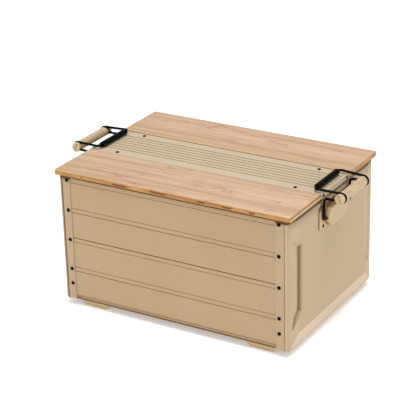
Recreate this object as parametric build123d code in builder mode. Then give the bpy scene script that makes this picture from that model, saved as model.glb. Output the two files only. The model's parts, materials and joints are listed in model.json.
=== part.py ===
from build123d import *
import os
from math import acos, atan2, cos, hypot, radians, sin, tan

# Chuck box: a metal camping box with a lift-off bamboo lid and a latch handle at each end.
# Millimetres, +Z up. The origin is on the ground at the middle of the box,
# X runs along the lid and the front faces -Y.

# ---- lid ----
HEIGHT = 320.0  # ground to the top of the lid
LID_LENGTH = 570.0
LID_DEPTH = 410.0
LID_THICKNESS = 12.0
LID_CORNER_R = 5.0
LID_EDGE_R = 2.6
LID_INNER_EDGE_R = 0.8
LID_GAP = 0.2  # air between the closed lid and the rim
STRIP_HALF = 66.6  # half the width of the ribbed metal strip
STRIP_LENGTH = 561.0
STRIP_RECESS = 1.7  # the strip's top lies this far below the lid's top
STRIP_SKIN = 2.0
STRIP_TOP_SKIN = 3.5
SEAT_GAP = 0.4  # joint between the strip and the bamboo boards
RIB_PITCH = 12.8
RIB_GROOVES = 7
RIB_GROOVE_WIDTH = 8.4
RIB_GROOVE_DEPTH = 1.2
STRIP_SCREW_X = 219.5
STRIP_SCREW_Y = 55.5
SCREW_WEB_HALF = 4.0  # solid web around each row of strip screws
CAP_LENGTH = 4.0  # end plate of the strip, along X
CAP_GAP = 0.5
CAP_EDGE_R = 1.2
CAP_SCREW_RISE = 5.0  # above the lid's underside
BATTEN_WIDTH = 40.0
BATTEN_DEPTH = 328.0
BATTEN_THICKNESS = 12.0
BATTEN_SCREW_Y = (95.0, 150.0)

# ---- box ----
PANEL_X = 283.0  # outer plane of an end panel's raised field
PANEL_BASE = 9.6
PANEL_SHEET = 1.2
PANEL_CORNER_R = 9.5
BEND_LINE = 269.0  # where the flange's flat ends and the rounded corner begins, along X
BEVEL_ANGLE = 9.3  # degrees, slope from the raised field down to the rounded edges
FLANGE_FACE = 199.2  # outer face of the flange that wraps onto the front
FLANGE_EDGE = 249.0  # where that flange ends, along X
FLANGE_BOTTOM = 14.5
RIM_EDGE = 262.0  # how far in the turned rim reaches
CREASE_WIDTH = 1.0
CREASE_DEPTH = 0.5
POCKET_DEPTH = 8.0
POCKET_SIDE_DRAFT = 2.0  # how far the steep walls of a pocket run in over its depth
POCKET_TOP_DRAFT = 9.0  # the top wall is a gentler slope
POCKET_OUTER_DRAFT = 30.5  # the outer side is a long ramp that runs out on the bevel
POCKET_CORNER_R = 2.0
POCKET_INNER_Y = 149.8
POCKET_OUTER_Y = 201.5
POCKET_INNER_Z = (92.3, 243.9)
POCKET_OUTER_Z = (39.4, 280.3)
BOARD_THICKNESS = 11.0
BOARD_HEIGHT = 140.0
BOARD_BASE = 24.0
BOARD_END = 266.0
BOARD_SEAM = 0.4
BOARD_SKIN = 2.0
BOARD_CELLS = ((2.5, 56.0), (74.0, 126.0))  # hollow cells, measured up from a board's foot
GROOVE_DROPS = (10.0, 70.0, 80.0)  # V grooves, measured down from a board's top
GROOVE_WIDTH = 3.0
GROOVE_DEPTH = 1.3
SEAM_CHAMFER = 0.9
FLANGE_SCREW_X = 256.5
FLANGE_SCREW_Z = (298.3, 228.3, 158.3, 88.3, 53.3)
RAIL_WIDTH = 20.0
RAIL_HEIGHT = 14.0
RAIL_WALL = 1.5
BOTTOM_RAIL_END = 267.0
TOP_RAIL_END = 260.0
BEARER_HALF = 165.0
FLOOR_THICKNESS = 6.0
FLOOR_END = 277.0
FLOOR_GAP = 0.2
FLOOR_CORNER_R = 13.0
FLOOR_SCREW_X = (-240.0, -80.0, 80.0, 240.0)
BEARER_SCREW_Y = (-120.0, 0.0, 120.0)
FOOT_HEIGHT = 10.0
FOOT_DEPTH = 28.0
FOOT_TOP_X = (171.5, 243.5)
FOOT_BOTTOM_X = (180.0, 234.0)
FOOT_SCREW_X = (195.0, 220.0)
FOOT_BORE_R = 4.6
FOOT_BORE_DEPTH = 4.0

# ---- latch handles ----
PIVOT_X = 289.0
PIVOT_Z = 260.5
ARM_R = 2.9
ARM_Y = 60.5
ARM_TOP_Z = 309.4
ARM_FOOT_BEND_R = 6.0
ARM_TOP_BEND_R = 10.0
PIN_END_Y = 44.0
GRIP_X = 324.5
GRIP_Z = 314.0
GRIP_R = 10.4
GRIP_HALF = 57.2
GRIP_BODY_HALF = 50.0  # outside it the grip narrows to a neck for the bail's hook
GRIP_NECK_R = 6.8
GRIP_SHOULDER_R = 0.8
GRIP_BAR_R = 4.0
GRIP_BAR_HALF = 62.4
GRIP_CAP_Y = (57.3, 64.6)
GRIP_CAP_EDGE_R = 0.8
GRIP_SLOT_WIDTH = 1.6
GRIP_SLOT_DEPTH = 0.6
GRIP_SLOT_TILT = 18.0
BAIL_R = 2.8
BAIL_Y = 54.0  # the hooks' plane at the grip's axis
BAIL_CORNER_Y = 58.5  # the arms splay out to here at the crossbar
BAIL_EYE_R = 9.8
BAIL_HOOK_END = -58.0  # angle of the hook's tip below the grip's outer side
BAIL_BEND_R = 6.0
SLEEVE_X = 265.5
SLEEVE_Z = 325.2
SLEEVE_R = 6.6
SLEEVE_HALF = 48.0
SLEEVE_EDGE_R = 1.4
BRACKET_HALF = 74.0
BRACKET_Z = (239.5, 290.0)
BRACKET_BASE = 2.0
BRACKET_CORNER_R = 8.0
HOOD_HALF = 50.0
HOOD_Z = (240.0, 285.0)
HOOD_REACH = 12.5
HOOD_WALL = 2.5
HOOD_CUT = 16.0
HOOD_TOP_R = 6.0
HOOD_EDGE_R = 2.4
BRACKET_SCREW_Y = 56.0
BRACKET_SCREW_Z = (245.0, 284.0)

# ---- fits and fasteners ----
FIT = 0.1  # radial clearance of a pin in its hole
HEAD_R = 4.0
HEAD_HEIGHT = 1.8
SMALL_HEAD_R = 3.4
SMALL_HEAD_HEIGHT = 1.3
SHANK_R = 1.9
SMALL_SHANK_R = 1.5
SOCKET_R = 1.7
SOCKET_DEPTH = 0.8
FLANGE_SHANK = 9.0
STRIP_SHANK = 18.0
CAP_SHANK = 20.0
BATTEN_SHANK = 19.0
FLOOR_SHANK = 11.0
FOOT_SHANK = 9.0
BEARER_SHANK = 6.0
BRACKET_SHANK = 7.0

# ---- worked out from the above ----
LID_BOTTOM = HEIGHT - LID_THICKNESS
RIM = LID_BOTTOM - LID_GAP
STRIP_TOP = HEIGHT - STRIP_RECESS
STRIP_END = STRIP_LENGTH / 2
CAP_INNER = STRIP_END + CAP_GAP
LID_END = CAP_INNER + CAP_LENGTH
BOARD_FACE = FLANGE_FACE - PANEL_SHEET
BOARD_BACK = BOARD_FACE - BOARD_THICKNESS
FLOOR_TOP = BOARD_BASE + FLOOR_THICKNESS
RAIL_BACK = BOARD_BACK - RAIL_WIDTH
RAIL_MIDDLE = BOARD_BACK - RAIL_WIDTH / 2
BEARER_BASE = PANEL_BASE + PANEL_SHEET
BEARER_END = BEND_LINE - 2.0
BRACKET_FACE = PANEL_X + BRACKET_BASE

FRONT = Plane.XZ  # its normal is -Y
os.makedirs("parts", exist_ok=True)


def keep(piece, node):
    """Label a finished piece and write it as one STEP file."""
    piece.part.label = node
    export_step(piece.part, f"parts/{node}.step")


def mirrored(piece, about):
    """The same piece on the other side of a plane."""
    with BuildPart() as other:
        mirror(piece.part, about=about)
    return other


def screw(head_r, head_height, shank_r, shank_length):
    """Low round-head screw standing on XY with its shank below."""
    with BuildPart() as one:
        Cylinder(head_r, head_height, align=(Align.CENTER, Align.CENTER, Align.MIN))
        fillet(one.edges().sort_by(Axis.Z)[-1], head_height * 0.6)
        with BuildSketch(Plane.XY.offset(head_height)):
            RegularPolygon(SOCKET_R, 6)
        extrude(amount=-SOCKET_DEPTH, mode=Mode.SUBTRACT)
        Cylinder(shank_r, shank_length, align=(Align.CENTER, Align.CENTER, Align.MAX))
    return one


def fasteners(planes, one):
    """A group of identical screws, one standing on each plane."""
    with BuildPart() as group:
        with Locations(*planes):
            add(one.part)
    return group


def facing(points, normal):
    """Planes at the points, all facing along one normal."""
    return [Plane(origin=point, z_dir=normal) for point in points]


def both_ends(points):
    """The points and their mirror images at the other end of the box."""
    return points + [(-x, y, z) for x, y, z in points]


def tube(plane, width, height, length):
    """Rectangular tube extruded along the plane's normal, centred on the plane's origin."""
    with BuildPart() as rail:
        with BuildSketch(plane):
            Rectangle(width, height)
            Rectangle(width - 2 * RAIL_WALL, height - 2 * RAIL_WALL, mode=Mode.SUBTRACT)
        extrude(amount=length / 2, both=True)
    return rail


# ---- where the screws stand ----
front_flange_points = both_ends([(FLANGE_SCREW_X, -FLANGE_FACE, z) for z in FLANGE_SCREW_Z])
flange_front = facing(front_flange_points, (0, -1, 0))
flange_back = facing([(x, -y, z) for x, y, z in front_flange_points], (0, 1, 0))
strip_points = both_ends([(STRIP_SCREW_X, y, STRIP_TOP) for y in (-STRIP_SCREW_Y, STRIP_SCREW_Y)])
strip_planes = facing(strip_points, (0, 0, 1))
cap_points = [(LID_END, y, LID_BOTTOM + CAP_SCREW_RISE) for y in (-STRIP_SCREW_Y, STRIP_SCREW_Y)]
cap_planes_right = facing(cap_points, (1, 0, 0))
cap_planes_left = facing([(-x, y, z) for x, y, z in cap_points], (-1, 0, 0))
batten_foot = LID_BOTTOM - BATTEN_THICKNESS
batten_points = both_ends(
    [(STRIP_SCREW_X, side * y, batten_foot) for y in BATTEN_SCREW_Y for side in (-1, 1)]
)
batten_planes = facing(batten_points, (0, 0, -1))
floor_planes = facing(
    [(x, side * RAIL_MIDDLE, FLOOR_TOP) for x in FLOOR_SCREW_X for side in (-1, 1)], (0, 0, 1)
)
foot_points = both_ends(
    [(x, side * RAIL_MIDDLE, FOOT_BORE_DEPTH) for x in FOOT_SCREW_X for side in (-1, 1)]
)
foot_planes = facing(foot_points, (0, 0, -1))
bearer_middle = (FLANGE_EDGE + BEARER_END) / 2
bearer_points = both_ends([(bearer_middle, y, PANEL_BASE) for y in BEARER_SCREW_Y])
bearer_planes = facing(bearer_points, (0, 0, -1))
bracket_points = [
    (BRACKET_FACE, side * BRACKET_SCREW_Y, z) for z in BRACKET_SCREW_Z for side in (-1, 1)
]
bracket_planes_right = facing(bracket_points, (1, 0, 0))
bracket_planes_left = facing([(-x, y, z) for x, y, z in bracket_points], (-1, 0, 0))


# ---- end panels: one pressed sheet each, wrapped onto the front and back ----
def tray_skin(radius):
    """Outside or inside form of a pressed tray: one bevelled core, grown by the edge radius."""
    half = FLANGE_FACE - PANEL_CORNER_R
    low = PANEL_BASE + PANEL_CORNER_R
    high = RIM + PANEL_CORNER_R
    field_x = PANEL_X - PANEL_CORNER_R
    run = (field_x - BEND_LINE) / tan(radians(BEVEL_ANGLE))
    with BuildPart() as form:
        with BuildSketch(Plane.YZ.offset(FLANGE_EDGE - PANEL_CORNER_R)):
            Polygon((-half, low), (half, low), (half, high), (-half, high), align=None)
        extrude(amount=BEND_LINE - FLANGE_EDGE + PANEL_CORNER_R)
        with BuildSketch(Plane.YZ.offset(BEND_LINE)):
            Polygon((-half, low), (half, low), (half, high), (-half, high), align=None)
        with BuildSketch(Plane.YZ.offset(field_x)):
            field_half = half - run
            Polygon(
                (-field_half, low + run),
                (field_half, low + run),
                (field_half, high),
                (-field_half, high),
                align=None,
            )
        loft()
        offset(amount=radius, kind=Kind.ARC)
        split(bisect_by=Plane.YZ.offset(FLANGE_EDGE), keep=Keep.TOP)
        split(bisect_by=Plane.XY.offset(RIM - PANEL_CORNER_R + radius), keep=Keep.BOTTOM)
    return form


def wall_inset(draft, depth, offset_out):
    """How far a drafted pocket wall has run in at a depth, measured square to the mouth's edge."""
    return draft * depth / POCKET_DEPTH - offset_out * hypot(1, draft / POCKET_DEPTH)


def pocket_outline(depth, offset_out):
    """One pocket's outline at a depth under the panel's face, its walls moved out by the offset."""
    side = wall_inset(POCKET_SIDE_DRAFT, depth, offset_out)
    outer = wall_inset(POCKET_OUTER_DRAFT, depth, offset_out)
    top = wall_inset(POCKET_TOP_DRAFT, depth, offset_out)
    width = POCKET_OUTER_Y - POCKET_INNER_Y
    low_slope = (POCKET_OUTER_Z[0] - POCKET_INNER_Z[0]) / width
    top_slope = (POCKET_OUTER_Z[1] - POCKET_INNER_Z[1]) / width
    low = POCKET_INNER_Z[0] + side * hypot(1, low_slope)
    high = POCKET_INNER_Z[1] - top * hypot(1, top_slope)
    corners = [
        (POCKET_INNER_Y + side, low + low_slope * side),
        (POCKET_OUTER_Y - outer, low + low_slope * (width - outer)),
        (POCKET_OUTER_Y - outer, high + top_slope * (width - outer)),
        (POCKET_INNER_Y + side, high + top_slope * side),
    ]
    with BuildSketch(Plane.YZ.offset(PANEL_X - depth)) as outline:
        Polygon(*corners, align=None)
        fillet(outline.vertices(), POCKET_CORNER_R)
    return outline.sketch


def pocket(mouth_depth, floor_depth, offset_out):
    """Both pockets of one end panel as solids that narrow towards their floors."""
    with BuildPart() as form:
        loft(sections=[
            pocket_outline(mouth_depth, offset_out),
            pocket_outline(floor_depth, offset_out),
        ])
        mirror(about=Plane.XZ)
    return form


pressed_in = pocket(0, POCKET_DEPTH, 0)
pressed_through = pocket(PANEL_SHEET, POCKET_DEPTH + PANEL_SHEET, PANEL_SHEET)
tray_outside = tray_skin(PANEL_CORNER_R)
tray_inside = tray_skin(PANEL_CORNER_R - PANEL_SHEET)
with BuildPart() as hollow:
    add(tray_inside.part)
    add(pressed_through.part, mode=Mode.SUBTRACT)

with BuildPart() as end_panel_right:
    add(tray_outside.part)
    add(pressed_in.part, mode=Mode.SUBTRACT)
    add(hollow.part, mode=Mode.SUBTRACT)
    with BuildSketch(Plane.XY.offset(RIM)):  # the rim stays as a narrow turned edge
        with Locations(((FLANGE_EDGE + RIM_EDGE) / 2, 0)):
            Rectangle(RIM_EDGE - FLANGE_EDGE, 2 * BOARD_FACE)
    extrude(amount=-PANEL_SHEET, mode=Mode.SUBTRACT)
    with BuildSketch(Plane.XY.offset(PANEL_BASE)):  # notches that let the bottom rails pass
        for side in (-1, 1):
            notch_middle = side * (BEARER_HALF + 1 + FLANGE_FACE) / 2
            with Locations(((FLANGE_EDGE + BEND_LINE) / 2, notch_middle)):
                Rectangle(BEND_LINE - FLANGE_EDGE, FLANGE_FACE - BEARER_HALF - 1)
    extrude(amount=FLANGE_BOTTOM - PANEL_BASE, mode=Mode.SUBTRACT)
    with BuildSketch(Plane.XY.offset(FLANGE_BOTTOM)):  # crease where the flange is folded
        for side in (-1, 1):
            with Locations((BEND_LINE, side * (FLANGE_FACE - CREASE_DEPTH / 2))):
                Rectangle(CREASE_WIDTH, CREASE_DEPTH)
    extrude(amount=RIM - FLANGE_BOTTOM, mode=Mode.SUBTRACT)
    with Locations(*flange_front, *flange_back):
        Hole(SHANK_R + FIT, depth=2 * PANEL_SHEET)
    with Locations(*bracket_planes_right):
        Hole(SHANK_R + FIT, depth=BRACKET_BASE + 2 * PANEL_SHEET)
    with Locations(*bearer_planes):
        Hole(SHANK_R + FIT, depth=PANEL_SHEET)
keep(end_panel_right, "end_panel_right")
keep(mirrored(end_panel_right, Plane.YZ), "end_panel_left")


# ---- front and back: two hollow extruded boards each ----
def wall_board(bottom, top, seam_at_top):
    """Hollow board of the front wall, with V grooves along its outer face."""
    with BuildPart() as board:
        with BuildSketch(Plane.YZ):
            with Locations((-BOARD_FACE + BOARD_THICKNESS / 2, (bottom + top) / 2)):
                Rectangle(BOARD_THICKNESS, top - bottom)
            for low, high in BOARD_CELLS:
                with Locations((-BOARD_FACE + BOARD_THICKNESS / 2, bottom + (low + high) / 2)):
                    Rectangle(BOARD_THICKNESS - 2 * BOARD_SKIN, high - low, mode=Mode.SUBTRACT)
            for drop in GROOVE_DROPS:
                Polygon(
                    (-BOARD_FACE, top - drop - GROOVE_WIDTH / 2),
                    (-BOARD_FACE + GROOVE_DEPTH, top - drop),
                    (-BOARD_FACE, top - drop + GROOVE_WIDTH / 2),
                    align=None,
                    mode=Mode.SUBTRACT,
                )
        extrude(amount=BOARD_END, both=True)
        face_edges = board.edges().filter_by(Axis.X).group_by(Axis.Y)[0].sort_by(Axis.Z)
        chamfer(face_edges[-1] if seam_at_top else face_edges[0], SEAM_CHAMFER)
        with Locations(*flange_front):
            Hole(SHANK_R + FIT, depth=PANEL_SHEET + FLANGE_SHANK)
    return board


board_tops = {"lower": BOARD_BASE + BOARD_HEIGHT, "upper": BOARD_BASE + 2 * BOARD_HEIGHT}
for level, board_top in board_tops.items():
    seam_at_top = level == "lower"
    low = board_top - BOARD_HEIGHT + (0 if seam_at_top else BOARD_SEAM / 2)
    high = board_top - (BOARD_SEAM / 2 if seam_at_top else 0)
    front_board = wall_board(low, high, seam_at_top)
    keep(front_board, f"front_board_{level}")
    keep(mirrored(front_board, Plane.XZ), f"back_board_{level}")

# ---- rails, bearers and floor ----
bottom_plane = Plane(
    origin=(0, -RAIL_MIDDLE, BOARD_BASE - RAIL_HEIGHT / 2), x_dir=(0, 1, 0), z_dir=(1, 0, 0)
)
with BuildPart() as bottom_rail_front:
    add(tube(bottom_plane, RAIL_WIDTH, RAIL_HEIGHT, 2 * BOTTOM_RAIL_END).part)
    with Locations(*floor_planes):
        Hole(SHANK_R + FIT, depth=FLOOR_SHANK)
    with Locations(*foot_planes):
        Hole(SHANK_R + FIT, depth=FOOT_SHANK)
keep(bottom_rail_front, "bottom_rail_front")
keep(mirrored(bottom_rail_front, Plane.XZ), "bottom_rail_back")

top_plane = Plane(
    origin=(0, -RAIL_MIDDLE, RIM - RAIL_HEIGHT / 2), x_dir=(0, 1, 0), z_dir=(1, 0, 0)
)
top_rail_front = tube(top_plane, RAIL_WIDTH, RAIL_HEIGHT, 2 * TOP_RAIL_END)
keep(top_rail_front, "top_rail_front")
keep(mirrored(top_rail_front, Plane.XZ), "top_rail_back")

bearer_height = BOARD_BASE - BEARER_BASE
bearer_plane = Plane(
    origin=(bearer_middle, 0, BEARER_BASE + bearer_height / 2), x_dir=(1, 0, 0), z_dir=(0, 1, 0)
)
with BuildPart() as floor_bearer_right:
    add(tube(bearer_plane, BEARER_END - FLANGE_EDGE, bearer_height, 2 * BEARER_HALF).part)
    with Locations(*bearer_planes):
        Hole(SHANK_R + FIT, depth=BEARER_SHANK)
keep(floor_bearer_right, "floor_bearer_right")
keep(mirrored(floor_bearer_right, Plane.YZ), "floor_bearer_left")

with BuildPart() as floor_panel:
    with BuildSketch(Plane.XY.offset(BOARD_BASE)):
        RectangleRounded(2 * FLOOR_END, 2 * (BOARD_BACK - FLOOR_GAP), FLOOR_CORNER_R)
    extrude(amount=FLOOR_THICKNESS)
    with Locations(*floor_planes):
        Hole(SHANK_R + FIT, depth=FLOOR_THICKNESS)
keep(floor_panel, "floor_panel")

# ---- feet ----
with BuildPart() as foot:
    with BuildSketch(FRONT.offset(BOARD_BACK)):
        Polygon(
            (FOOT_BOTTOM_X[0], 0),
            (FOOT_BOTTOM_X[1], 0),
            (FOOT_TOP_X[1], FOOT_HEIGHT),
            (FOOT_TOP_X[0], FOOT_HEIGHT),
            align=None,
        )
    extrude(amount=-FOOT_DEPTH)
    with Locations(*foot_planes):
        Hole(SHANK_R + FIT, depth=FOOT_HEIGHT)
    with Locations(*facing([(x, y, 0) for x, y, z in foot_points], (0, 0, -1))):
        Hole(FOOT_BORE_R, depth=FOOT_BORE_DEPTH)
foot_left = mirrored(foot, Plane.YZ)
keep(foot, "foot_front_right")
keep(foot_left, "foot_front_left")
keep(mirrored(foot, Plane.XZ), "foot_back_right")
keep(mirrored(foot_left, Plane.XZ), "foot_back_left")

# ---- lid: two bamboo boards with a ribbed metal strip between them ----
board_inner_y = STRIP_HALF + SEAT_GAP
with BuildPart() as lid_board_front:
    with BuildSketch(Plane.XY.offset(LID_BOTTOM)) as board_plan:
        with Locations((0, -(LID_DEPTH / 2 + board_inner_y) / 2)):
            Rectangle(LID_LENGTH, LID_DEPTH / 2 - board_inner_y)
        fillet(board_plan.vertices().group_by(Axis.Y)[0], LID_CORNER_R)
    extrude(amount=LID_THICKNESS)
    long_edges = lid_board_front.edges().filter_by(Axis.X)
    fillet(long_edges.group_by(Axis.Y)[-1].sort_by(Axis.Z)[-1], LID_INNER_EDGE_R)
    flat_faces = lid_board_front.faces().filter_by(Axis.Z).sort_by(Axis.Z)
    top_rim = flat_faces[-1].edges().sort_by(Axis.Y)[:-1]
    bottom_rim = flat_faces[0].edges().sort_by(Axis.Y)[:-1]
    fillet(top_rim + bottom_rim, LID_EDGE_R)
    with Locations(*batten_planes):
        Hole(SHANK_R + FIT, depth=BATTEN_SHANK)
keep(lid_board_front, "lid_board_front")
keep(mirrored(lid_board_front, Plane.XZ), "lid_board_back")

strip_height = STRIP_TOP - LID_BOTTOM
web_inner = STRIP_SCREW_Y - SCREW_WEB_HALF
web_outer = STRIP_SCREW_Y + SCREW_WEB_HALF
strip_cells = (
    (-STRIP_HALF + STRIP_SKIN, -web_outer),
    (-web_inner, -STRIP_SKIN / 2),
    (STRIP_SKIN / 2, web_inner),
    (web_outer, STRIP_HALF - STRIP_SKIN),
)
with BuildPart() as lid_strip:
    with BuildSketch(Plane.YZ):
        with Locations((0, LID_BOTTOM + strip_height / 2)):
            Rectangle(2 * STRIP_HALF, strip_height)
        with Locations((0, STRIP_TOP - RIB_GROOVE_DEPTH / 2)):
            with GridLocations(RIB_PITCH, 1, RIB_GROOVES, 1):
                Rectangle(RIB_GROOVE_WIDTH, RIB_GROOVE_DEPTH, mode=Mode.SUBTRACT)
        cell_height = strip_height - STRIP_SKIN - STRIP_TOP_SKIN
        for low, high in strip_cells:
            with Locations(((low + high) / 2, LID_BOTTOM + STRIP_SKIN + cell_height / 2)):
                Rectangle(high - low, cell_height, mode=Mode.SUBTRACT)
    extrude(amount=STRIP_END, both=True)
    with Locations(*strip_planes):
        Hole(SHANK_R + FIT, depth=strip_height)
    with Locations(*cap_planes_right, *cap_planes_left):
        Hole(SMALL_SHANK_R + FIT, depth=CAP_SHANK + 1)
keep(lid_strip, "lid_strip")

with BuildPart() as lid_end_cap_right:
    with BuildSketch(Plane.XY.offset(LID_BOTTOM)):
        with Locations((CAP_INNER + CAP_LENGTH / 2, 0)):
            Rectangle(CAP_LENGTH, 2 * STRIP_HALF)
    extrude(amount=LID_THICKNESS)
    fillet(lid_end_cap_right.edges().filter_by(Axis.Y).group_by(Axis.Z)[-1], CAP_EDGE_R)
    with Locations(*cap_planes_right):
        Hole(SMALL_SHANK_R + FIT, depth=CAP_LENGTH)
keep(lid_end_cap_right, "lid_end_cap_right")
keep(mirrored(lid_end_cap_right, Plane.YZ), "lid_end_cap_left")

with BuildPart() as lid_batten_right:
    with BuildSketch(Plane.XY.offset(LID_BOTTOM)):
        with Locations((STRIP_SCREW_X, 0)):
            Rectangle(BATTEN_WIDTH, BATTEN_DEPTH)
    extrude(amount=-BATTEN_THICKNESS)
    with Locations(*strip_planes):
        Hole(SHANK_R + FIT, depth=STRIP_SHANK + 1)
    with Locations(*batten_planes):
        Hole(SHANK_R + FIT, depth=BATTEN_THICKNESS)
keep(lid_batten_right, "lid_batten_right")
keep(mirrored(lid_batten_right, Plane.YZ), "lid_batten_left")

# ---- latch bracket: a flat base with a hollow hood that holds the lever's pins ----
with BuildPart() as bracket_right:
    with BuildSketch(Plane.YZ.offset(PANEL_X)):
        with Locations((0, sum(BRACKET_Z) / 2)):
            RectangleRounded(2 * BRACKET_HALF, BRACKET_Z[1] - BRACKET_Z[0], BRACKET_CORNER_R)
    extrude(amount=BRACKET_BASE)
    with BuildSketch(Plane.YZ.offset(PANEL_X)) as hood_outline:
        with Locations((0, sum(HOOD_Z) / 2)):
            Rectangle(2 * HOOD_HALF, HOOD_Z[1] - HOOD_Z[0])
        chamfer(hood_outline.vertices().group_by(Axis.Z)[0], HOOD_CUT)
        fillet(hood_outline.vertices().group_by(Axis.Z)[-1], HOOD_TOP_R)
    extrude(amount=HOOD_REACH)
    fillet(bracket_right.faces().sort_by(Axis.X)[-1].edges(), HOOD_EDGE_R)
    with BuildSketch(Plane.YZ.offset(PANEL_X)):
        add(hood_outline.sketch)
        offset(amount=-HOOD_WALL, kind=Kind.INTERSECTION, mode=Mode.REPLACE)
    extrude(amount=HOOD_REACH - HOOD_WALL, mode=Mode.SUBTRACT)
    with BuildSketch(FRONT.offset(-HOOD_HALF)):
        with Locations((PIVOT_X, PIVOT_Z)):
            Circle(ARM_R + FIT)
    extrude(amount=2 * HOOD_HALF, mode=Mode.SUBTRACT)
    with Locations(*bracket_planes_right):
        Hole(SHANK_R + FIT, depth=BRACKET_BASE)
keep(bracket_right, "bracket_right")
keep(mirrored(bracket_right, Plane.YZ), "bracket_left")

# ---- lever: two bent arms welded to the bar inside the grip ----
with BuildPart() as lever_frame_right:
    with BuildLine() as arm_path:
        FilletPolyline(
            (PIVOT_X, -PIN_END_Y, PIVOT_Z),
            (PIVOT_X, -ARM_Y, PIVOT_Z),
            (PIVOT_X, -ARM_Y, ARM_TOP_Z),
            (GRIP_X, -ARM_Y, ARM_TOP_Z),
            radius=[ARM_FOOT_BEND_R, ARM_TOP_BEND_R],
        )
    with BuildSketch(Plane(origin=arm_path.line @ 0, z_dir=arm_path.line % 0)):
        Circle(ARM_R)
    sweep()
    mirror(about=Plane.XZ)
    with BuildSketch(FRONT):
        with Locations((GRIP_X, GRIP_Z)):
            Circle(GRIP_BAR_R)
    extrude(amount=GRIP_BAR_HALF, both=True)
keep(lever_frame_right, "lever_frame_right")
keep(mirrored(lever_frame_right, Plane.YZ), "lever_frame_left")

with BuildPart() as grip_right:
    with BuildSketch(FRONT):
        with Locations((GRIP_X, GRIP_Z)):
            Circle(GRIP_R)
    extrude(amount=GRIP_BODY_HALF, both=True)
    fillet(grip_right.edges().filter_by(GeomType.CIRCLE), GRIP_SHOULDER_R)
    with BuildSketch(FRONT):
        with Locations((GRIP_X, GRIP_Z)):
            Circle(GRIP_NECK_R)
    extrude(amount=GRIP_HALF, both=True)
    with BuildSketch(FRONT):
        with Locations((GRIP_X, GRIP_Z)):
            Circle(GRIP_BAR_R + FIT)
    extrude(amount=GRIP_HALF, both=True, mode=Mode.SUBTRACT)
keep(grip_right, "grip_right")
keep(mirrored(grip_right, Plane.YZ), "grip_left")

with BuildPart() as grip_cap_right_front:
    with BuildSketch(FRONT.offset(GRIP_CAP_Y[0])):
        with Locations((GRIP_X, GRIP_Z)):
            Circle(GRIP_R)
    extrude(amount=GRIP_CAP_Y[1] - GRIP_CAP_Y[0])
    fillet(grip_cap_right_front.edges().sort_by(Axis.Y)[0], GRIP_CAP_EDGE_R)
    with BuildSketch(FRONT.offset(GRIP_CAP_Y[1])):
        with Locations((GRIP_X, GRIP_Z)):
            Rectangle(GRIP_SLOT_WIDTH, 2 * GRIP_R, rotation=GRIP_SLOT_TILT)
    extrude(amount=-GRIP_SLOT_DEPTH, mode=Mode.SUBTRACT)
    with BuildSketch(FRONT.offset(GRIP_CAP_Y[0])):
        with Locations((GRIP_X, GRIP_Z)):
            Circle(GRIP_BAR_R + FIT)
    extrude(amount=GRIP_BAR_HALF + FIT - GRIP_CAP_Y[0], mode=Mode.SUBTRACT)
    with BuildSketch(FRONT.offset(GRIP_CAP_Y[0])):
        with Locations((GRIP_X + FIT, ARM_TOP_Z)):
            Rectangle(
                GRIP_R + 2 * FIT, 2 * (ARM_R + FIT), align=(Align.MAX, Align.CENTER)
            )
    extrude(amount=ARM_Y + ARM_R + FIT - GRIP_CAP_Y[0], mode=Mode.SUBTRACT)
grip_cap_right_back = mirrored(grip_cap_right_front, Plane.XZ)
keep(grip_cap_right_front, "grip_cap_right_front")
keep(grip_cap_right_back, "grip_cap_right_back")
keep(mirrored(grip_cap_right_front, Plane.YZ), "grip_cap_left_front")
keep(mirrored(grip_cap_right_back, Plane.YZ), "grip_cap_left_back")

# ---- bail: one wire hooked over the grip's ends, with a sleeve on its crossbar ----
bail_run = (SLEEVE_X - GRIP_X, SLEEVE_Z - GRIP_Z)
tangent_angle = atan2(bail_run[1], bail_run[0]) - acos(BAIL_EYE_R / hypot(*bail_run))
splay = (BAIL_CORNER_Y - BAIL_Y) / bail_run[0]  # the arms' slant in Y, per mm along X


def eye_point(angle):
    """Point on the hook's centre line, at an angle in radians about the grip's axis."""
    reach = BAIL_EYE_R * cos(angle)
    return (GRIP_X + reach, -BAIL_Y - splay * reach, GRIP_Z + BAIL_EYE_R * sin(angle))


hook_tip = radians(BAIL_HOOK_END)
with BuildPart() as bail_wire_right:
    with BuildLine() as bail_path:
        ThreePointArc(
            eye_point(hook_tip), eye_point((hook_tip + tangent_angle) / 2), eye_point(tangent_angle)
        )
        FilletPolyline(
            eye_point(tangent_angle),
            (SLEEVE_X, -BAIL_CORNER_Y, SLEEVE_Z),
            (SLEEVE_X, 0, SLEEVE_Z),
            radius=BAIL_BEND_R,
        )
    with BuildSketch(Plane(origin=bail_path.line @ 0, z_dir=bail_path.line % 0)):
        Circle(BAIL_R)
    sweep()
    mirror(about=Plane.XZ)
keep(bail_wire_right, "bail_wire_right")
keep(mirrored(bail_wire_right, Plane.YZ), "bail_wire_left")

with BuildPart() as bail_sleeve_right:
    with BuildSketch(FRONT):
        with Locations((SLEEVE_X, SLEEVE_Z)):
            Circle(SLEEVE_R)
    extrude(amount=SLEEVE_HALF, both=True)
    fillet(bail_sleeve_right.edges().filter_by(GeomType.CIRCLE), SLEEVE_EDGE_R)
    with BuildSketch(FRONT):
        with Locations((SLEEVE_X, SLEEVE_Z)):
            Circle(BAIL_R + FIT)
    extrude(amount=SLEEVE_HALF, both=True, mode=Mode.SUBTRACT)
keep(bail_sleeve_right, "bail_sleeve_right")
keep(mirrored(bail_sleeve_right, Plane.YZ), "bail_sleeve_left")

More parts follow.
